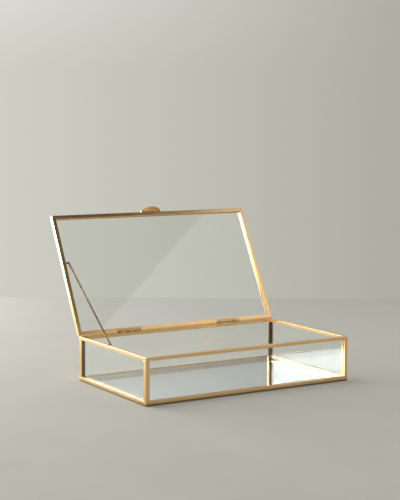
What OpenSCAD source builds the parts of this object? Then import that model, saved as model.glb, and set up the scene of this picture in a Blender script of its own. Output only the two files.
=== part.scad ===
// Low brass-framed glass trinket box: mirror floor, hinged glass lid, link chain as lid stay.
// Front is -Y, the hinges are at +Y, the chain is on the -X side. The lid is drawn open.

/* [Box body] */
// Width over the brass corner posts
box_w = 254; // [190:1:320]
// Depth over the brass corner posts
box_d = 146; // [110:1:190]
// Height from the underside to the top of the body rails
box_h = 48.9; // [38:0.1:70]

/* [Brass rails] */
// Face width of the body rails and corner posts
bar_w = 4.6; // [4.2:0.1:6]
// Height of the bottom rails
bottom_rail_h = 4.6; // [4.2:0.1:7]
// Height of the top rails
top_rail_h = 3.6; // [3.2:0.1:5]
// Depth of the groove that holds a pane
groove_d = 1.1; // [0.7:0.1:1.1]
// Chamfer along the outer edges of the brass
edge_c = 0.3; // [0.1:0.05:0.5]
// Width of the ledge under the mirror
ledge_w = 2.5; // [1.5:0.1:5]
// Thickness of the ledge and of the backing sheet inside it
ledge_t = 0.9; // [0.6:0.1:1.2]

/* [Glass] */
// Thickness of the clear panes
glass_t = 2; // [1.6:0.1:2.2]
// Thickness of the mirror plate
mirror_t = 3.1; // [2.5:0.1:3.2]
// Gap on each side of a pane in its groove
seat_gap = 0.1; // [0.05:0.05:0.15]

/* [Lid] */
// Width of the lid rails
lid_bar_w = 4.5; // [4.2:0.1:6]
// Thickness of the lid rails
lid_bar_t = 4.6; // [4.4:0.1:6]
// How far the lid stands out past each side of the body
lid_overhang = 0.8; // [0:0.1:1.5]
// Gap between the closed lid and the body rails
lid_gap = 0.5; // [0.4:0.05:0.8]
// Distance from the hinge axis forward to the lid's rear face
lid_setback = 1.1; // [1:0.1:3.5]
// Distance of the lid's front face behind the body's front face
lid_inset = 1; // [0:0.1:2]
// Angle from closed at which the chain stops the lid
lid_open = 118; // [100:1:125]

/* [Thumb lift] */
// Width of the thumb lift
lift_w = 26; // [16:0.5:40]
// How far the petal hangs below its web
lift_reach = 5.5; // [5:0.5:11]
// Thickness of the thumb lift sheet
lift_t = 0.8; // [0.6:0.1:1.2]
// Inner radius of the petal's dish
lift_dish_r = 50; // [35:1:80]

/* [Hinges] */
// Length of each hinge barrel
hinge_len = 30; // [20:0.5:40]
// Distance between the middles of the two hinges
hinge_spacing = 131; // [90:1:150]
// Radius of the hinge barrel
barrel_r = 1.5; // [1.3:0.05:1.7]
// Radius of the hinge pin
pin_r = 0.6; // [0.4:0.05:0.7]
// Radial running clearance of the pin in the knuckles
pin_play = 0.05; // [0.02:0.01:0.1]
// Gap between neighbouring knuckles
knuckle_gap = 0.3; // [0.2:0.05:0.5]
// Thickness of the hinge leaves
leaf_t = 0.8; // [0.6:0.05:0.9]
// Distance of the hinge axis in from the rear face
hinge_in = 1.5; // [1.4:0.05:1.8]
// Height of the hinge axis above the body rails
hinge_up = 0.1; // [0:0.05:0.2]

/* [Chain] */
// Distance from the hinge axis to the lid stud
lid_stud_reach = 86; // [60:0.5:100]
// Distance from the middle of the body to the body stud, towards the rear
body_stud_y = 13; // [5:0.5:25]
// Gap between the links and the rails on the left
chain_gap = 0.6; // [0.4:0.1:2]
// Diameter of the link wire
wire_d = 0.7; // [0.5:0.05:0.75]
// Width of a link over its wires
link_w = 2.8; // [2.2:0.05:3]
// Nominal distance from one link to the next
link_pitch = 2; // [1.9:0.05:2.3]
// Slack between two linked wires
link_slack = 0.1; // [0.05:0.01:0.2]
// Radius of the studs that carry the end rings
stud_r = 0.45; // [0.4:0.05:0.6]

/* [Hidden] */
$fn = 48;
eps = 0.5;

// grooves that hold the panes
groove_w = glass_t + 2 * seat_gap;
groove_0 = (bar_w - groove_w) / 2;
groove_1 = groove_0 + groove_w;
lid_groove_0 = (lid_bar_t - groove_w) / 2;
lid_groove_1 = lid_groove_0 + groove_w;
pane_seat = groove_d - seat_gap;
pane_z0 = bottom_rail_h - pane_seat;
pane_h = box_h - top_rail_h - bottom_rail_h + 2 * pane_seat;
mirror_z0 = ledge_t + seat_gap / 2;

// hinge axis and closed lid
hinge_y = box_d / 2 - hinge_in;
hinge_z = box_h + hinge_up;
lid_z0 = box_h + lid_gap;
lid_rear_y = hinge_y - lid_setback;
lid_w = box_w + 2 * lid_overhang;
lid_d = lid_rear_y + box_d / 2 - lid_inset;
lid_mid_y = lid_rear_y - lid_d / 2;
knuckle_len = (hinge_len - 2 * knuckle_gap) / 3;
bore_r = pin_r + pin_play;
leaf_front = bar_w - hinge_in - edge_c;
lid_leaf_front = lid_setback + lid_bar_w - groove_d - edge_c;
pocket_r = barrel_r + 0.3;
pocket_play = 0.05;
pin_head_r = pin_r + 0.35;
pin_head_t = 0.4;

// thumb lift, dished away from the front of the body
lift_play = 0.35;
lift_outline_r = ((lift_w / 2) ^ 2 + lift_reach ^ 2) / (2 * lift_reach);
lift_dish_y = sqrt(lift_dish_r ^ 2 - (lift_w / 2) ^ 2 - lift_reach ^ 2) - lift_play - lid_inset;

// studs, end rings and links
chain_x = max(bar_w, lid_bar_w - lid_overhang) + chain_gap + link_w / 2 - box_w / 2;
stud_len = 1.5;
stud_head_r = stud_r + 0.3;
stud_head_t = 0.5;
body_stud_z = hinge_z - 1.4;
lug_r = stud_head_r;
lug_t = 0.6;
ring_wire_r = wire_d / 2;
ring_in_r = 0.95;
ring_shift = ring_in_r - stud_r - link_slack;
ring_far = ring_shift + ring_in_r + ring_wire_r;
hook = wire_d + link_slack;
first_wire = ring_far - hook;
lid_stud = [-lid_stud_reach, 0];
lid_stud_open = [
  lid_stud[0] * cos(lid_open) + lid_stud[1] * sin(lid_open),
  -lid_stud[0] * sin(lid_open) + lid_stud[1] * cos(lid_open)
];
chain_vec = [body_stud_y - hinge_y - lid_stud_open[0], body_stud_z - hinge_z - lid_stud_open[1]];
chain_len = norm(chain_vec);
chain_dir = atan2(chain_vec[1], chain_vec[0]);
wire_run = chain_len - 2 * first_wire - hook;
// an odd number of links, so that both end rings meet a link that lies across them
link_count = 2 * round((wire_run / link_pitch - 1) / 2) + 1;
pitch = wire_run / link_count;
run_share = 17 / 61;
end_run = 2 * round((run_share * link_count - 1) / 2) + 1;
bend_links = 7;
middle_run = link_count - 2 * (end_run + bend_links);
chain_counts = [end_run, bend_links, middle_run, bend_links, end_run];
function links_before(i) = i == 0 ? 0 : links_before(i - 1) + chain_counts[i - 1];

// ---------- placing ----------

// moves a piece drawn for the closed lid to where the open lid carries it
module on_open_lid() {
  translate([0, hinge_y, hinge_z])
    rotate([-lid_open, 0, 0])
      translate([0, -hinge_y, -hinge_z])
        children();
}

// puts a rail drawn along X, with its outer face on y = 0, on one side of a w by d frame
module on_side(side, w, d) {
  turn = side == "front" ? 0 : side == "right" ? 90 : side == "rear" ? 180 : 270;
  reach = side == "front" || side == "rear" ? d / 2 : w / 2;
  rotate([0, 0, turn])
    translate([0, -reach, 0])
      children();
}

function side_len(side, w, d) = side == "front" || side == "rear" ? w : d;

// ---------- brass bars ----------

// extrudes a section (inward, up) along X and cuts both ends to a mitre
module mitred_bar(len, depth, height, section) {
  intersection() {
    rotate([90, 0, 90])
      linear_extrude(height = len + 2 * eps, center = true)
        polygon(section);
    translate([0, 0, -eps])
      linear_extrude(height = height + 2 * eps)
        polygon([
          [-len / 2, 0], [len / 2, 0],
          [len / 2 - depth, depth], [-len / 2 + depth, depth]
        ]);
  }
}

bottom_section = [
  [edge_c, 0], [bar_w + ledge_w, 0], [bar_w + ledge_w, ledge_t], [bar_w, ledge_t],
  [bar_w, bottom_rail_h], [groove_1, bottom_rail_h], [groove_1, bottom_rail_h - groove_d],
  [groove_0, bottom_rail_h - groove_d], [groove_0, bottom_rail_h], [0, bottom_rail_h], [0, edge_c]
];

top_section = [
  [0, 0], [groove_0, 0], [groove_0, groove_d], [groove_1, groove_d], [groove_1, 0], [bar_w, 0],
  [bar_w, top_rail_h - edge_c], [bar_w - edge_c, top_rail_h],
  [edge_c, top_rail_h], [0, top_rail_h - edge_c]
];

lid_section = [
  [edge_c, 0], [lid_bar_w, 0], [lid_bar_w, lid_groove_0],
  [lid_bar_w - groove_d, lid_groove_0], [lid_bar_w - groove_d, lid_groove_1],
  [lid_bar_w, lid_groove_1], [lid_bar_w, lid_bar_t],
  [edge_c, lid_bar_t], [0, lid_bar_t - edge_c], [0, edge_c]
];

module bottom_rail(side) {
  color("goldenrod")
    on_side(side, box_w, box_d)
      mitred_bar(side_len(side, box_w, box_d), bar_w + ledge_w, bottom_rail_h, bottom_section);
}

module top_rail(side) {
  color("goldenrod")
    translate([0, 0, box_h - top_rail_h])
      on_side(side, box_w, box_d)
        mitred_bar(side_len(side, box_w, box_d), bar_w, top_rail_h, top_section);
}

module top_rail_with_hinge_pockets() {
  color("goldenrod")
    difference() {
      top_rail("rear");
      at_each_hinge() {
        barrel_space(hinge_len + 2 * pin_head_t + 2 * knuckle_gap, pocket_r);
        translate([0, -leaf_front - pocket_play, -hinge_up - leaf_t - pocket_play])
          leaf_block(hinge_len + 2 * pocket_play, leaf_front + pocket_play, leaf_t + eps);
      }
    }
}

// corner post with one groove for each of the two panes that meet there
module post(right, rear) {
  section = [
    [edge_c, 0], [bar_w, 0], [bar_w, groove_0], [bar_w - groove_d, groove_0],
    [bar_w - groove_d, groove_1], [bar_w, groove_1], [bar_w, bar_w], [groove_1, bar_w],
    [groove_1, bar_w - groove_d], [groove_0, bar_w - groove_d], [groove_0, bar_w],
    [0, bar_w], [0, edge_c]
  ];
  color("goldenrod")
    mirror([right ? 1 : 0, 0, 0])
      mirror([0, rear ? 1 : 0, 0])
        translate([-box_w / 2, -box_d / 2, bottom_rail_h])
          linear_extrude(height = box_h - top_rail_h - bottom_rail_h)
            polygon(section);
}

// ---------- glass ----------

module pane(side) {
  len = side_len(side, box_w, box_d) - 2 * (bar_w - pane_seat);
  color("azure", 0.35)
    on_side(side, box_w, box_d)
      translate([-len / 2, groove_0 + seat_gap, pane_z0])
        cube([len, glass_t, pane_h]);
}

module mirror_plate() {
  w = box_w - 2 * (bar_w + seat_gap);
  d = box_d - 2 * (bar_w + seat_gap);
  color("silver")
    translate([-w / 2, -d / 2, mirror_z0])
      cube([w, d, mirror_t]);
}

module base_backing() {
  w = box_w - 2 * (bar_w + ledge_w + seat_gap);
  d = box_d - 2 * (bar_w + ledge_w + seat_gap);
  color("dimgray")
    translate([-w / 2, -d / 2, 0])
      cube([w, d, ledge_t]);
}

// ---------- hinges ----------

module at_hinge(right) {
  translate([(right ? 1 : -1) * hinge_spacing / 2, hinge_y, hinge_z])
    children();
}

module at_each_hinge() {
  at_hinge(false) children();
  at_hinge(true) children();
}

// cylinder along the hinge axis, centred
module barrel_space(len, r) {
  rotate([0, 90, 0])
    cylinder(h = len, r = r, center = true);
}

module leaf_block(len, depth, height) {
  translate([-len / 2, 0, 0])
    cube([len, depth, height]);
}

module outer_knuckles(len, r) {
  for (s = [-1, 1])
    translate([s * (knuckle_len + knuckle_gap), 0, 0])
      barrel_space(len, r);
}

module hinge_body_leaf(right) {
  color("darkgoldenrod")
    at_hinge(right)
      difference() {
        union() {
          outer_knuckles(knuckle_len, barrel_r);
          translate([0, -leaf_front, -hinge_up - leaf_t])
            leaf_block(hinge_len, leaf_front, leaf_t);
        }
        barrel_space(knuckle_len + 2 * knuckle_gap, pocket_r);
        barrel_space(hinge_len + 2 * eps, bore_r);
      }
}

module hinge_lid_leaf(right) {
  color("darkgoldenrod")
    on_open_lid()
      at_hinge(right)
        difference() {
          union() {
            barrel_space(knuckle_len, barrel_r);
            translate([0, -lid_leaf_front, lid_z0 - hinge_z])
              leaf_block(hinge_len, lid_leaf_front, leaf_t);
          }
          outer_knuckles(knuckle_len + 2 * knuckle_gap, pocket_r);
          barrel_space(hinge_len + 2 * eps, bore_r);
        }
}

module hinge_pin(right) {
  color("goldenrod")
    at_hinge(right) {
      barrel_space(hinge_len + 2 * knuckle_gap, pin_r);
      for (s = [-1, 1])
        translate([s * (hinge_len / 2 + knuckle_gap / 3 + pin_head_t / 2), 0, 0])
          barrel_space(pin_head_t, pin_head_r);
    }
}

// ---------- lid ----------

module closed_lid_rail(side) {
  translate([0, lid_mid_y, lid_z0])
    on_side(side, lid_w, lid_d)
      mitred_bar(side_len(side, lid_w, lid_d), lid_bar_w, lid_bar_t, lid_section);
}

module lid_rail(side) {
  color("goldenrod")
    on_open_lid()
      closed_lid_rail(side);
}

module lid_rail_with_leaf_pockets() {
  color("goldenrod")
    on_open_lid()
      difference() {
        closed_lid_rail("rear");
        at_each_hinge() {
          barrel_space(hinge_len + 2 * pin_head_t + 2 * knuckle_gap, pocket_r);
          translate([0, -lid_leaf_front - pocket_play, lid_z0 - hinge_z - eps])
            leaf_block(hinge_len + 2 * pocket_play, lid_leaf_front, leaf_t + eps + pocket_play);
        }
      }
}

module lid_pane() {
  w = lid_w - 2 * (lid_bar_w - pane_seat);
  d = lid_d - 2 * (lid_bar_w - pane_seat);
  color("azure", 0.35)
    on_open_lid()
      translate([-w / 2, lid_mid_y - d / 2, lid_z0 + lid_groove_0 + seat_gap])
        cube([w, d, glass_t]);
}

// half-moon petal hanging in front of the closed body, joined by a web to the lid's face at y = 0
module petal() {
  module dish(r) {
    translate([0, lift_dish_y, -lift_reach])
      sphere(r = r, $fn = 96);
  }
  difference() {
    intersection() {
      dish(lift_dish_r + lift_t);
      translate([0, 0, lift_outline_r - lift_reach])
        rotate([90, 0, 0])
          cylinder(h = lift_dish_r, r = lift_outline_r, $fn = 96);
      translate([-lift_w / 2, -lift_dish_r, -lift_reach - eps])
        cube([lift_w, lift_dish_r, lift_reach + eps + lift_t]);
    }
    intersection() {
      dish(lift_dish_r);
      translate([-lift_w / 2 - eps, -lift_dish_r, -lift_reach - 2 * eps])
        cube([lift_w + 2 * eps, lift_dish_r + eps, lift_reach + 2 * eps]);
    }
  }
}

module thumb_lift() {
  plate_h = lid_bar_t - 2 * edge_c;
  color("goldenrod")
    on_open_lid()
      translate([0, lid_rear_y - lid_d, lid_z0 + edge_c]) {
        translate([-lift_w / 2, -lift_t, 0])
          cube([lift_w, lift_t, plate_h]);
        petal();
      }
}

// ---------- chain ----------

// headed stud along +X, with its foot at the origin
module stud(foot_len) {
  rotate([0, 90, 0]) {
    cylinder(h = foot_len + stud_len, r = stud_r);
    translate([0, 0, foot_len + stud_len])
      cylinder(h = stud_head_t, r1 = stud_head_r, r2 = stud_head_r / 2);
  }
}

module body_chain_stud() {
  face_x = bar_w - box_w / 2;
  color("darkgoldenrod")
    translate([face_x, body_stud_y, body_stud_z]) {
      stud(chain_x - face_x - stud_len / 2);
      rotate([0, 90, 0])
        cylinder(h = lug_t, r = lug_r);
    }
}

module lid_chain_stud() {
  face_x = lid_bar_w - lid_w / 2;
  lug_x = chain_x - stud_len / 2 - lug_t;
  color("darkgoldenrod")
    on_open_lid()
      translate([0, hinge_y - lid_stud_reach, hinge_z]) {
        translate([lug_x, 0, 0]) {
          stud(lug_t);
          rotate([0, 90, 0])
            cylinder(h = lug_t, r = lug_r);
          translate([0, -lug_r, 0])
            cube([lug_t, 2 * lug_r, lid_z0 - hinge_z + lid_groove_0]);
        }
        translate([face_x, -lug_r, lid_z0 - hinge_z + edge_c])
          cube([lug_x + lug_t - face_x, 2 * lug_r, lid_groove_0 - edge_c]);
      }
}

// draws children along the taut chain: +Z runs from the lid stud to the body stud
module along_chain(distance) {
  translate([chain_x, hinge_y + lid_stud_open[0], hinge_z + lid_stud_open[1]])
    rotate([chain_dir - 90, 0, 0])
      translate([0, 0, distance])
        children();
}

// end ring in the YZ plane around a stud at the origin, reaching towards +Z
module end_ring() {
  translate([0, 0, ring_shift])
    rotate([0, 90, 0])
      rotate_extrude($fn = 32)
        translate([ring_in_r + ring_wire_r, 0])
          circle(r = ring_wire_r, $fn = 16);
}

// oval link along Z in the XZ plane, first wire on the origin
module chain_link() {
  wire_span = pitch + hook;
  bend_r = (link_w - wire_d) / 2;
  side = wire_span - 2 * bend_r;
  translate([0, 0, bend_r])
    for (s = [-1, 1]) {
      translate([s * bend_r, 0, 0])
        cylinder(h = side, r = wire_d / 2, $fn = 16);
      translate([0, 0, s > 0 ? side : 0])
        rotate([s > 0 ? 90 : -90, 0, 0])
          rotate_extrude(angle = 180, $fn = 32)
            translate([bend_r, 0])
              circle(r = wire_d / 2, $fn = 16);
    }
}

module chain_piece(i) {
  color("darkgoldenrod")
    for (k = [links_before(i) : links_before(i) + chain_counts[i] - 1])
      along_chain(first_wire + k * pitch)
        rotate([0, 0, k % 2 == 0 ? 0 : 90])
          chain_link();
}

module chain_ring_upper() {
  color("goldenrod")
    along_chain(0)
      end_ring();
}

module chain_ring_lower() {
  color("goldenrod")
    along_chain(chain_len)
      rotate([180, 0, 0])
        end_ring();
}

bottom_rail("front");  // bottom_rail_front
bottom_rail("rear");  // bottom_rail_rear
bottom_rail("left");  // bottom_rail_left
bottom_rail("right");  // bottom_rail_right
post(false, false);  // post_front_left
post(true, false);  // post_front_right
post(false, true);  // post_rear_left
post(true, true);  // post_rear_right
top_rail("front");  // top_rail_front
top_rail_with_hinge_pockets();  // top_rail_rear
top_rail("left");  // top_rail_left
top_rail("right");  // top_rail_right
pane("front");  // pane_front
pane("rear");  // pane_rear
pane("left");  // pane_left
pane("right");  // pane_right
mirror_plate();
base_backing();
body_chain_stud();
hinge_body_leaf(false);  // hinge_body_leaf_left
hinge_body_leaf(true);  // hinge_body_leaf_right
hinge_pin(false);  // hinge_pin_left
hinge_pin(true);  // hinge_pin_right
hinge_lid_leaf(false);  // hinge_lid_leaf_left
hinge_lid_leaf(true);  // hinge_lid_leaf_right
lid_rail("front");  // lid_rail_front
lid_rail_with_leaf_pockets();  // lid_rail_rear
lid_rail("left");  // lid_rail_left
lid_rail("right");  // lid_rail_right
lid_pane();
thumb_lift();
lid_chain_stud();
chain_ring_upper();
chain_piece(0);  // chain_upper_run
chain_piece(1);  // chain_upper_bend
chain_piece(2);  // chain_middle_run
chain_piece(3);  // chain_lower_bend
chain_piece(4);  // chain_lower_run
chain_ring_lower();
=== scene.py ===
# %% [markdown]
# # A brass and glass trinket box
#
# The real object is a low box: four clear panes and a mirror floor held in slim brass
# rails, with a one-pane lid on two small hinges and a fine chain that stops the lid.
# A CAD model already gives every piece its size and place. The lesson loads that
# model as a fixed frame and gives each piece its finish, its edges and its small
# handmade marks. Two alternatives would be to model all of it again here, or to paint
# flat colours on it. Keeping the CAD pieces means that every joint still moves as built.

# %% Load the frame
import math
import random

import bmesh
import bpy
from mathutils import Matrix, Vector


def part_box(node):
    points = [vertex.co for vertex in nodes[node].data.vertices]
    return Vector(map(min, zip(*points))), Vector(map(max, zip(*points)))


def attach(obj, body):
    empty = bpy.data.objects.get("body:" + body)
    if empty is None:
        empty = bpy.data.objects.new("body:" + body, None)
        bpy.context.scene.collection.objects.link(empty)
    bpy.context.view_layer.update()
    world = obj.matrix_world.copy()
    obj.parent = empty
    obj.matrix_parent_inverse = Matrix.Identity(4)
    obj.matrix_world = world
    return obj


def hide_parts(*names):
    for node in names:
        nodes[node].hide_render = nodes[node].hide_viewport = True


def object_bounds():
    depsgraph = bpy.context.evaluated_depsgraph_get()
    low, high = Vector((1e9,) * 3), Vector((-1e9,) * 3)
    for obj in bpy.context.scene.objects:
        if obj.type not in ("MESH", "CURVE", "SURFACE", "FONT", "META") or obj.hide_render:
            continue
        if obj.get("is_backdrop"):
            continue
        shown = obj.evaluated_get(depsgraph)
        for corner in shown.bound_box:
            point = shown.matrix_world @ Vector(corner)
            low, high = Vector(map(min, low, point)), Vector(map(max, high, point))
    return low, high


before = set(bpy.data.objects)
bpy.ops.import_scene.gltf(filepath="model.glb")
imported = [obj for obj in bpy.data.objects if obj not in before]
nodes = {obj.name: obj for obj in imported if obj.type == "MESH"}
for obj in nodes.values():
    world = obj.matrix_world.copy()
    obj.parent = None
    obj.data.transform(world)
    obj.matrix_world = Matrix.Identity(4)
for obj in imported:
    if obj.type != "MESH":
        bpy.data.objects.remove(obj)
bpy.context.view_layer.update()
MM = 0.001
print("pieces in the frame:", len(nodes))

# %% [markdown]
# ## The camera
#
# A small box looks right through a long lens from a little above it, because a wide
# lens would splay its upright corners. The camera stands about 1.4 m away, turned to
# the left corner. Its axes are worked out from a turn, a tilt and a slight roll and set
# as a matrix. Aiming it with a constraint would also work, but then the roll would be
# harder to set.

# %% Place the camera
CAMERA_AT = Vector((-0.7577, -1.1845, 0.2931))
TURN, TILT, ROLL = math.radians(-31.954), math.radians(6.084), math.radians(0.329)
LONG_SIDE_MM, LENS_MM = 36.0, 94.11

look = Vector((
    -math.sin(TURN) * math.cos(TILT), math.cos(TURN) * math.cos(TILT), -math.sin(TILT)))
level_right = Vector((math.cos(TURN), math.sin(TURN), 0.0))
level_up = level_right.cross(look)
right = math.cos(ROLL) * level_right + math.sin(ROLL) * level_up
up = math.cos(ROLL) * level_up - math.sin(ROLL) * level_right

camera_data = bpy.data.cameras.new("camera")
camera_data.sensor_width = LONG_SIDE_MM
camera_data.lens = LENS_MM
camera_data.clip_start, camera_data.clip_end = 0.05, 40
camera = bpy.data.objects.new("camera", camera_data)
bpy.context.scene.collection.objects.link(camera)
turn_matrix = Matrix((right, up, -look)).transposed().to_4x4()
camera.matrix_world = Matrix.Translation(CAMERA_AT) @ turn_matrix
bpy.context.scene.camera = camera
bpy.context.scene.view_settings.view_transform = "Standard"
print("camera looks along", [round(v, 3) for v in look])

# %% [markdown]
# ## Helpers for node materials
#
# Each finish below is a small tree of shader nodes. Five helpers keep the trees short.
# They start a material, add a node with its values, make a noise that is stretched along
# a direction, spread a range of values over another, and blend two colours. All patterns
# use object coordinates in metres, so they keep their true scale and move with their
# piece.

# %% Node helpers
def new_material(name):
    """A new node material, its tree and its Principled shader."""
    material = bpy.data.materials.new(name)
    material.use_nodes = True
    tree = material.node_tree
    return material, tree, tree.nodes["Principled BSDF"]


def add(tree, kind, inputs=None, **settings):
    """A node of that kind. inputs maps a socket's name or number to a value or an output."""
    node = tree.nodes.new(kind)
    for key, value in settings.items():
        setattr(node, key, value)
    for key, value in (inputs or {}).items():
        if isinstance(value, bpy.types.NodeSocket):
            tree.links.new(value, node.inputs[key])
        else:
            node.inputs[key].default_value = value
    return node


def grain(tree, scale, detail=4.0, turn_x=0.0, rough=0.55):
    """Noise from 0 to 1, with its own scale per metre along each axis."""
    place = add(tree, "ShaderNodeTexCoord").outputs["Object"]
    if turn_x:
        turned = add(tree, "ShaderNodeMapping", {"Vector": place})
        turned.inputs["Rotation"].default_value = (turn_x, 0, 0)
        place = turned.outputs["Vector"]
    stretched = add(tree, "ShaderNodeMapping", {"Vector": place, "Scale": scale})
    noise = add(tree, "ShaderNodeTexNoise", {
        "Vector": stretched.outputs["Vector"], "Scale": 1.0, "Detail": detail,
        "Roughness": rough})
    return noise.outputs["Fac"]


def spread(tree, value, low, high, from_low=0.3, from_high=0.7):
    """The value's range from_low to from_high spread over low to high."""
    node = add(tree, "ShaderNodeMapRange", {
        "Value": value, "From Min": from_low, "From Max": from_high,
        "To Min": low, "To Max": high})
    return node.outputs["Result"]


def between(tree, share, first, second):
    """A colour between two others."""
    node = add(tree, "ShaderNodeMix", {"Factor": share}, data_type="RGBA")
    for socket, colour in (("A_Color", first), ("B_Color", second)):
        target = next(s for s in node.inputs if s.identifier == socket)
        if isinstance(colour, bpy.types.NodeSocket):
            tree.links.new(colour, target)
        else:
            target.default_value = (*colour, 1)
    return next(s for s in node.outputs if s.identifier == "Result_Color")


helpers = (new_material, add, grain, spread, between)
print("node helpers:", [helper.__name__ for helper in helpers])

# %% [markdown]
# ## Brass
#
# The rails are brass strip, brushed along their length and lacquered. Under the lacquer
# the metal isn't one colour: it has faint cloudy patches and darker specks, and fine
# lines from the brushing. A metal needs no diffuse colour, so the shader is fully
# metallic and the nodes vary its tint and its roughness. The lines follow each strip,
# so the same recipe is made once for every direction.

# %% The brass recipe
LID_OPEN = math.radians(118)
# the noise's scale per metre along each axis, and its turn about X
ALONG = {
    "x": ((22, 2600, 2600), 0.0),
    "y": ((2600, 22, 2600), 0.0),
    "z": ((2600, 2600, 22), 0.0),
    "lid": ((2600, 22, 2600), LID_OPEN),
    "round": ((500, 500, 500), 0.0),
}
SPECK_SHARE, SPECK_SHADE = 0.35, 0.45


def brass(name, along, light, deep, smooth=0.15, dull=0.25, line_depth=0.03, darken=None):
    """Metal with brushing, cloudy tint and specks. The last argument, if given, is a mask and a
    colour that darken the metal.
    """
    material, tree, shader = new_material(name)
    scale, turn_x = ALONG[along]
    lines = grain(tree, scale, detail=3.0, turn_x=turn_x)
    clouds = grain(tree, (38, 38, 38), detail=5.0, rough=0.6)
    specks = grain(tree, (900, 900, 900), detail=2.0)
    tint = between(tree, spread(tree, clouds, 0.0, 1.0), deep, light)
    speckle = spread(tree, specks, 0.0, SPECK_SHARE, 0.70, 0.80)
    spotted = between(tree, speckle, tint, tuple(SPECK_SHADE * c for c in deep))
    if darken:
        mask, colour = darken
        spotted = between(tree, mask(tree), spotted, colour)
    tree.links.new(spotted, shader.inputs["Base Color"])
    shader.inputs["Metallic"].default_value = 1.0
    worn = add(tree, "ShaderNodeMath", {0: lines, 1: clouds}, operation="MULTIPLY")
    rough = spread(tree, worn.outputs[0], smooth, dull, 0.14, 0.38)
    tree.links.new(rough, shader.inputs["Roughness"])
    shader.inputs["Coat Weight"].default_value = 0.06
    shader.inputs["Coat Roughness"].default_value = 0.12
    bump = add(tree, "ShaderNodeBump", {
        "Height": lines, "Strength": line_depth, "Distance": 0.0002})
    tree.links.new(bump.outputs["Normal"], shader.inputs["Normal"])
    return material


WARM, WARM_DEEP = (0.97, 0.68, 0.345), (0.93, 0.61, 0.285)
rail_finish = {
    along: brass("rail_brass_" + along, along, WARM, WARM_DEEP) for along in ALONG}
hinge_finish = brass("hinge_brass", "x", (0.80, 0.53, 0.26), (0.60, 0.37, 0.17), 0.18, 0.32)
chain_finish = brass(
    "chain_brass", "round", (0.50, 0.34, 0.17), (0.22, 0.14, 0.07), 0.12, 0.24)
print("brass finishes:", len(rail_finish) + 2)

# %% [markdown]
# ## Darker rear posts, and painted shade on the bottom edge
#
# Two places on the frame are darker: the inner part of the rear posts, and the bottom
# edge. The dark along the bottom edge is painted shade, standing in for the floor's
# contact shadow mirrored in the rails. They could be painted on by hand, but a mask that
# is worked out from the place on the object fits every post and rail and needs no
# painting. Each mask is a number from 0 to 1 that blends the brass into a darker colour.

# %% Darkened rear posts and painted bottom shade
post_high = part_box("post_rear_right")[1]
SKIN_X, SKIN_Y = (1.4 * MM, 0.8 * MM), (1.6 * MM, 1.0 * MM)
# heights over which the painted shade on the bottom edge fades out
CONTACT_SHADE_BAND = (0.9 * MM, 2.0 * MM)
# the first colour darkens the inner part of the rear posts; the second is painted shade along
# the bottom edge of the box
DARK, CONTACT_SHADE_BROWN = (0.085, 0.078, 0.064), (0.20, 0.12, 0.065)


def place_parts(tree):
    """The X, Y and Z of the place on the object."""
    place = add(tree, "ShaderNodeTexCoord").outputs["Object"]
    return add(tree, "ShaderNodeSeparateXYZ", {"Vector": place}).outputs


def inside_corner(tree):
    """1 on the inner part of a rear post and 0 in its outer skin."""
    parts = place_parts(tree)
    sideways = add(tree, "ShaderNodeMath", {0: parts["X"]}, operation="ABSOLUTE")
    by_x = spread(
        tree, sideways.outputs[0], 1.0, 0.0, *(post_high.x - skin for skin in SKIN_X))
    by_y = spread(tree, parts["Y"], 1.0, 0.0, *(post_high.y - skin for skin in SKIN_Y))
    return add(tree, "ShaderNodeMath", {0: by_x, 1: by_y}, operation="MULTIPLY").outputs[0]


def painted_contact_shade(tree):
    """Painted shade: near 1 along the bottom edge of the box, and 0 a little higher. It stands
    in for the floor's contact shadow mirrored in the rails.
    """
    return spread(tree, place_parts(tree)["Z"], 0.85, 0.0, *CONTACT_SHADE_BAND)


# the inner part of the rear posts is blended into a dark grey
rear_post_finish = brass(
    "rear_post_brass", "z", WARM, WARM_DEEP, darken=(inside_corner, DARK))
# the bottom rails' brass, with painted shade blended in along their lower edge
contact_shaded_finish = {
    along: brass("contact_shaded_brass_" + along, along, WARM, WARM_DEEP, darken=(painted_contact_shade, CONTACT_SHADE_BROWN))
    for along in ("x", "y")}
print("darkened finishes:", len(contact_shaded_finish) + 1)

# %% [markdown]
# ## Clear glass and the mirror
#
# A thin flat pane hardly bends what is seen through it. It tints it very slightly
# green, and mirrors more the flatter one looks along it. A full refracting glass shader
# would do that too, but its shadows come out dark and noisy. So each face lets a tinted
# view straight through and mixes in a mirror by the usual law for glass: about 4 percent
# seen square on, and nearly all seen edge on. A faint film of dust and wiping marks
# makes the mirror part a little soft in places.

# %% The pane and mirror recipes
MIRRORED_SQUARE_ON = 0.042


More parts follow.
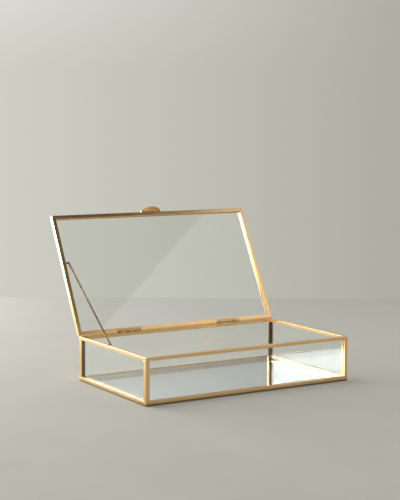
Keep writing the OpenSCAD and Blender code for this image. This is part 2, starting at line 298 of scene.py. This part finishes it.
def pane_glass(name, tint, film=0.012):
    """Glass of one face: a tinted clear view, a mirror by angle and a thin film."""
    material, tree, shader = new_material(name)
    facing = add(tree, "ShaderNodeLayerWeight", {"Blend": 0.5}).outputs["Facing"]
    steep = add(tree, "ShaderNodeMath", {0: facing, 1: 5.0}, operation="POWER")
    share = spread(tree, steep.outputs[0], MIRRORED_SQUARE_ON, 1.0, 0.0, 1.0)
    wiped = grain(tree, (16, 55, 55), detail=4.0)
    shader.inputs["Metallic"].default_value = 1.0
    shader.inputs["Base Color"].default_value = (0.97, 0.99, 0.98, 1)
    tree.links.new(spread(tree, wiped, 0.0, 0.05), shader.inputs["Roughness"])
    clear = add(tree, "ShaderNodeBsdfTransparent", {"Color": (*tint, 1)})
    dust = add(tree, "ShaderNodeBsdfDiffuse", {"Color": (0.86, 0.88, 0.86, 1)})
    dusty = add(tree, "ShaderNodeMixShader", {
        0: spread(tree, wiped, film * 0.3, film, 0.45, 0.75),
        1: clear.outputs[0], 2: dust.outputs[0]})
    face = add(tree, "ShaderNodeMixShader", {
        0: share, 1: dusty.outputs[0], 2: shader.outputs[0]})
    tree.links.new(face.outputs[0], tree.nodes["Material Output"].inputs["Surface"])
    return material


clear_glass = pane_glass("clear_glass", (0.978, 0.988, 0.985))
mirror_front = pane_glass("mirror_front", (0.985, 0.992, 0.992), film=0.015)


def silvering():
    """The bright metal layer on the back of the mirror."""
    material, tree, shader = new_material("silvering")
    clouds = grain(tree, (30, 30, 30))
    tree.links.new(
        between(tree, spread(tree, clouds, 0.0, 1.0), (0.93, 0.945, 0.945), (0.96, 0.97, 0.97)),
        shader.inputs["Base Color"])
    shader.inputs["Metallic"].default_value = 1.0
    tree.links.new(spread(tree, clouds, 0.0, 0.03), shader.inputs["Roughness"])
    return material


silver_layer = silvering()
print("glass finishes:", [m.name for m in (clear_glass, mirror_front, silver_layer)])

# %% [markdown]
# ## Felt and solder
#
# The underside carries a dark felt sheet so that the box doesn't scratch a table. Felt
# is pressed loose fibre: matt, with short threads lying every way, and a soft sheen at
# a flat angle. The corners of the frame are soldered and wiped, which leaves a thin
# fillet a little greyer than the brass.

# %% The felt and solder recipes
def felt():
    """Dark pressed felt with crossing fibres."""
    material, tree, shader = new_material("felt")
    one_way = grain(tree, (260, 1900, 900), detail=6.0, rough=0.7)
    other_way = grain(tree, (1900, 260, 900), detail=6.0, rough=0.7)
    both = add(tree, "ShaderNodeMath", {0: one_way, 1: other_way}, operation="MAXIMUM")
    shade = spread(tree, both.outputs[0], 0.0, 1.0, 0.4, 0.8)
    tree.links.new(
        between(tree, shade, (0.012, 0.011, 0.010), (0.055, 0.052, 0.048)),
        shader.inputs["Base Color"])
    shader.inputs["Roughness"].default_value = 0.95
    shader.inputs["Sheen Weight"].default_value = 0.4
    shader.inputs["Sheen Roughness"].default_value = 0.5
    bump = add(tree, "ShaderNodeBump", {
        "Height": both.outputs[0], "Strength": 0.6, "Distance": 0.0004})
    tree.links.new(bump.outputs["Normal"], shader.inputs["Normal"])
    return material


felt_sheet = felt()
solder = brass("solder", "round", (0.74, 0.60, 0.43), (0.58, 0.45, 0.30), 0.26, 0.45, 0.12)
print("other finishes:", [m.name for m in (felt_sheet, solder)])

# %% [markdown]
# ## Finishing the frame's own pieces
#
# Brass strip has softly rounded edges, and those thin bright lines are what make metal
# read as metal. The imported meshes have one vertex for each face at a corner, so a
# weld joins them first, and a bevel then rounds every edge sharper than 30 degrees.
# Both are modifiers, so the CAD mesh itself stays as it came.

# %% Edges and materials for each node
SAME_POINT = 0.01 * MM
SHARP = math.radians(30)


def soften(piece, width_mm):
    """Joins the split corners of an imported mesh and rounds its sharp edges."""
    weld = piece.modifiers.new("join_corners", "WELD")
    weld.merge_threshold = SAME_POINT
    bevel = piece.modifiers.new("round_edges", "BEVEL")
    bevel.width = width_mm * MM
    bevel.segments = 2
    bevel.limit_method = "ANGLE"
    bevel.angle_limit = SHARP
    bevel.use_clamp_overlap = True
    bevel.harden_normals = True


def finish_with(piece, material):
    """Gives an object one material in every slot."""
    if not piece.data.materials:
        piece.data.materials.append(material)
    for place in piece.material_slots:
        place.link = "OBJECT"
        place.material = material


def finish_for(name):
    """The material for a node, and how far its edges are rounded in mm."""
    sideways = name.split("_")[-1] in ("left", "right")
    if name.startswith("pane_") or name == "lid_pane":
        return clear_glass, 0.0
    if name == "base_backing":
        return felt_sheet, 0.15
    if name.startswith("hinge_pin"):
        return rail_finish["x"], 0.08
    if name.startswith("hinge_"):
        return hinge_finish, 0.1
    if name.startswith("chain_") or name.endswith("chain_stud"):
        return chain_finish, 0.0
    if name == "thumb_lift":
        return rail_finish["round"], 0.2
    if name.startswith("post_rear"):
        return rear_post_finish, 0.18
    if name.startswith("bottom_rail"):
        # the bottom rails take the brass with painted shade on their lower edge
        return contact_shaded_finish["y" if sideways else "x"], 0.2
    if name.startswith("post_"):
        return rail_finish["z"], 0.18
    if name.startswith("lid_rail") and sideways:
        return rail_finish["lid"], 0.22
    if sideways:
        return rail_finish["y"], 0.18
    return rail_finish["x"], 0.2


finished = 0
for name, piece in sorted(nodes.items()):
    if name == "mirror_plate":
        continue
    material, edge_mm = finish_for(name)
    finish_with(piece, material)
    if edge_mm:
        soften(piece, edge_mm)
    finished += 1
print("nodes finished:", finished)

# %% [markdown]
# ## The mirror floor
#
# A mirror is two things: a slab of clear glass, and a thin bright layer on its back. The
# reflection comes from the back, so a rail that stands on the mirror and its image are
# parted by twice the glass, which looks right only if both are there. The CAD plate is
# replaced by these two. The glass has its cut edges ground to a small slope all round.

# %% Make the mirror's glass and silvering
def slab(name, low, high, chamfer, material):
    """A flat sheet between two corners, with its edges ground to a slope."""
    mesh = bpy.data.meshes.new(name)
    shape = bmesh.new()
    bmesh.ops.create_cube(shape, size=1.0)
    centre = (Vector(low) + Vector(high)) / 2
    size = Vector(high) - Vector(low)
    for corner in shape.verts:
        corner.co = Vector(c * s for c, s in zip(corner.co, size)) + centre
    if chamfer:
        bmesh.ops.bevel(
            shape, geom=shape.edges[:], offset=chamfer, offset_type="OFFSET",
            segments=1, affect="EDGES", profile=0.5)
    shape.to_mesh(mesh)
    shape.free()
    mesh.materials.append(material)
    piece = bpy.data.objects.new(name, mesh)
    bpy.context.scene.collection.objects.link(piece)
    return piece


SILVER_T, GROUND_EDGE = 0.05 * MM, 0.35 * MM
plate_low, plate_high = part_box("mirror_plate")
silver_top = plate_low.z + SILVER_T
mirror_glass = slab(
    "mirror_glass", (plate_low.x, plate_low.y, silver_top + SILVER_T), plate_high,
    GROUND_EDGE, mirror_front)
mirror_silver = slab(
    "mirror_silvering", plate_low, (plate_high.x, plate_high.y, silver_top), 0, silver_layer)
for piece in (mirror_glass, mirror_silver):
    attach(piece, "box")
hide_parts("mirror_plate")
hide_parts("mirror_plate")
print("mirror glass is", round((plate_high.z - silver_top) / MM, 2), "mm thick")

# %% [markdown]
# ## Solder in the corners
#
# Where a post meets the rails above it, solder was drawn into the inner corner and
# wiped. It leaves a small hollow-cheeked wedge. A sphere pushed into the corner
# would look like a blob of glue, so each fillet is a three-sided patch whose open face
# curves inwards, with a little unevenness from the iron.

# %% Make the corner fillets
FILLET = 1.5 * MM
LET_IN = 0.05 * MM
UNEVEN, HOLLOW, LEAST = 0.12, 1.35, 0.3
STEPS = 8
wobble = random.Random(7)


def fillet_mesh(name, at, to_x, to_y, to_z, reach):
    """A wedge in the corner at a point, reaching along three directions."""
    shape = bmesh.new()
    uneven = [1 + wobble.uniform(-UNEVEN, UNEVEN) for _ in range(3)]
    arms = [Vector(arm) * reach * u for arm, u in zip((to_x, to_y, to_z), uneven)]
    tip = shape.verts.new(at)
    rows = []
    for i in range(STEPS + 1):
        row = []
        for j in range(STEPS + 1 - i):
            a, b = i / STEPS, j / STEPS
            c = 1 - a - b
            flat = arms[0] * a + arms[1] * b + arms[2] * c
            pull = 1 - HOLLOW * (a * b + b * c + c * a)
            row.append(shape.verts.new(Vector(at) + flat * max(pull, LEAST)))
        rows.append(row)
    for i in range(STEPS):
        for j in range(STEPS - i):
            shape.faces.new((rows[i][j], rows[i + 1][j], rows[i][j + 1]))
            if j < STEPS - i - 1:
                shape.faces.new((rows[i + 1][j], rows[i + 1][j + 1], rows[i][j + 1]))
    edges_to_close = (
        [rows[0][j] for j in range(STEPS + 1)],
        [rows[i][STEPS - i] for i in range(STEPS + 1)],
        [rows[i][0] for i in range(STEPS + 1)],
    )
    for line in edges_to_close:
        for first, second in zip(line, line[1:]):
            shape.faces.new((tip, first, second))
    bmesh.ops.recalc_face_normals(shape, faces=shape.faces[:])
    for face in shape.faces:
        face.smooth = True
    mesh = bpy.data.meshes.new(name)
    shape.to_mesh(mesh)
    shape.free()
    mesh.materials.append(solder)
    piece = bpy.data.objects.new(name, mesh)
    bpy.context.scene.collection.objects.link(piece)
    return piece


fillets = 0
for left_right in ("left", "right"):
    for front_rear in ("front", "rear"):
        low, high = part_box("post_" + front_rear + "_" + left_right)
        x, to_x = (high.x, 1) if left_right == "left" else (low.x, -1)
        y, to_y = (high.y, 1) if front_rear == "front" else (low.y, -1)
        corner = fillet_mesh(
            "solder_top_" + front_rear + "_" + left_right,
            (x - to_x * LET_IN, y - to_y * LET_IN, high.z + LET_IN),
            (to_x, 0, 0), (0, to_y, 0), (0, 0, -1), FILLET)
        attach(corner, "box")
        fillets += 1
print("solder fillets:", fillets)

# %% [markdown]
# ## The floor
#
# The box stands on a pale matt floor that ends in a straight line some way behind it,
# and past that line only the backdrop shows. One large flat sheet is enough. Its paint
# is slightly mottled, because a perfectly even floor looks like a drawing.

# %% Make the floor
GROUND_TO_LINE = 2.037
level_look = Vector((look.x, look.y, 0)).normalized()
line_at = Vector((CAMERA_AT.x, CAMERA_AT.y, 0)) + level_look * GROUND_TO_LINE
FLOOR_REACH = 9.0
UNDER_BOX = 0.2 * MM

floor_mesh = bpy.data.meshes.new("floor")
floor_corners = [
    line_at + level_right * side * FLOOR_REACH - level_look * back
    for side, back in ((-1, 0), (-1, FLOOR_REACH), (1, FLOOR_REACH), (1, 0))]
floor_mesh.from_pydata([c[:] for c in floor_corners], [], [(0, 1, 2, 3)])
floor = bpy.data.objects.new("floor", floor_mesh)
floor.location.z = -UNDER_BOX
bpy.context.scene.collection.objects.link(floor)

floor_paint, tree, shader = new_material("floor_paint")
mottle = grain(tree, (9, 9, 9), detail=6.0)
tree.links.new(
    between(tree, spread(tree, mottle, 0.0, 1.0), (0.74, 0.732, 0.665), (0.78, 0.772, 0.705)),
    shader.inputs["Base Color"])
shader.inputs["Roughness"].default_value = 0.75
shader.inputs["Specular IOR Level"].default_value = 0.2
bump = add(tree, "ShaderNodeBump", {
    "Height": grain(tree, (60, 60, 60), detail=8.0), "Strength": 0.12, "Distance": 0.002})
tree.links.new(bump.outputs["Normal"], shader.inputs["Normal"])
floor_mesh.materials.append(floor_paint)
floor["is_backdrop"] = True
print("floor line stands", GROUND_TO_LINE, "m from the camera")

# %% [markdown]
# ## The backdrop
#
# The backdrop is the world's own colour, brighter to the left and higher up. The other
# half of the world, behind the camera, is a dark room: polished metal shows whatever
# stands in front of it, so the dark side gives the lid's rails their deep brown. A wall
# would do the same for this view, but it would hide the box from a camera behind it.

# %% Make the backdrop
world = bpy.data.worlds.new("studio")
world.use_nodes = True
bpy.context.scene.world = world
tree = world.node_tree
direction = add(tree, "ShaderNodeTexCoord").outputs["Generated"]


def along_axis(axis, low, high, from_low, from_high):
    """A number that follows how far the direction leans along an axis."""
    lean = add(tree, "ShaderNodeVectorMath", {0: direction}, operation="DOT_PRODUCT")
    lean.inputs[1].default_value = axis
    return spread(tree, lean.outputs["Value"], low, high, from_low, from_high)


rightward = along_axis(level_right, 0.0, 1.0, -0.17, 0.17)
wall_low = between(tree, rightward, (0.64, 0.635, 0.57), (0.415, 0.405, 0.345))
wall_high = between(tree, rightward, (0.93, 0.91, 0.90), (0.42, 0.405, 0.365))
higher = along_axis((0, 0, 1), 0.0, 1.0, 0.03, 0.20)
wall = between(tree, higher, wall_low, wall_high)
dark_room = (0.085, 0.083, 0.08)
ahead = along_axis(level_look, 0.0, 1.0, -0.05, 0.30)
backdrop = between(tree, ahead, dark_room, wall)
tree.links.new(backdrop, tree.nodes["Background"].inputs["Color"])
tree.nodes["Background"].inputs["Strength"].default_value = 1.0
print("dark room behind the camera:", dark_room)

# %% [markdown]
# ## Lights
#
# A bright, low panel stands to the left of the box and well behind it. It burns out the
# brass faces turned to it, and it shows in the right pane and in the mirror. A softer
# light overhead fills the floor. A weak card hangs in front on the right, where the open
# lid mirrors it, and its edge makes the faint diagonal in the lid's glass. Area lights
# are used because their backs don't show.

# %% Place the lights
def soft_light(name, at, across, upward, width, height, radiance, tint=(1, 1, 1)):
    """A rectangular light that shines along upward x across, as bright as asked."""
    data = bpy.data.lights.new(name, "AREA")
    data.shape = "RECTANGLE"
    data.size, data.size_y = width, height
    data.energy = radiance * math.pi * width * height
    data.color = tint
    across, upward = Vector(across).normalized(), Vector(upward).normalized()
    back = across.cross(upward).normalized()
    upward = back.cross(across)
    light = bpy.data.objects.new(name, data)
    turn = Matrix((across, upward, back)).transposed().to_4x4()
    light.matrix_world = Matrix.Translation(at) @ turn
    bpy.context.scene.collection.objects.link(light)
    print(name, "at", [round(v, 2) for v in at], "power", round(data.energy, 2), "W")


PANEL_W, PANEL_H, PANEL_FOOT, PANEL_GLOW = 0.92, 0.33, 0.01, 15.0
soft_light(
    "panel_left", (-0.66, 0.94, PANEL_FOOT + PANEL_H / 2), (-0.82, -0.57, 0), (0, 0, 1),
    PANEL_W, PANEL_H, PANEL_GLOW)
OVERHEAD_SIDE, OVERHEAD_GLOW, WARM_WHITE = 0.8, 1.15, (1, 0.985, 0.95)
soft_light(
    "overhead", (-0.60, 0.16, 1.10), (1, 0, 0), (0, 1, 0),
    OVERHEAD_SIDE, OVERHEAD_SIDE, OVERHEAD_GLOW, WARM_WHITE)
CARD_W, CARD_H, CARD_GLOW = 1.5, 0.9, 0.75
card_edge_at = Vector((0.642, -0.641, 0.958))
card_along, card_up = Vector((-0.614, -0.762, -0.207)), Vector((0.612, -0.293, -0.735))
soft_light(
    "card_front", card_edge_at + card_up * CARD_H / 2, card_along, card_up,
    CARD_W, CARD_H, CARD_GLOW)

# %% [markdown]
# ## The visual size
#
# The size of everything that renders, apart from the floor, is printed in mm.

# %% Write the sizes and finish
low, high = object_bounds()
print("visual size in mm:", [round((b - a) / MM, 1) for a, b in zip(low, high)])
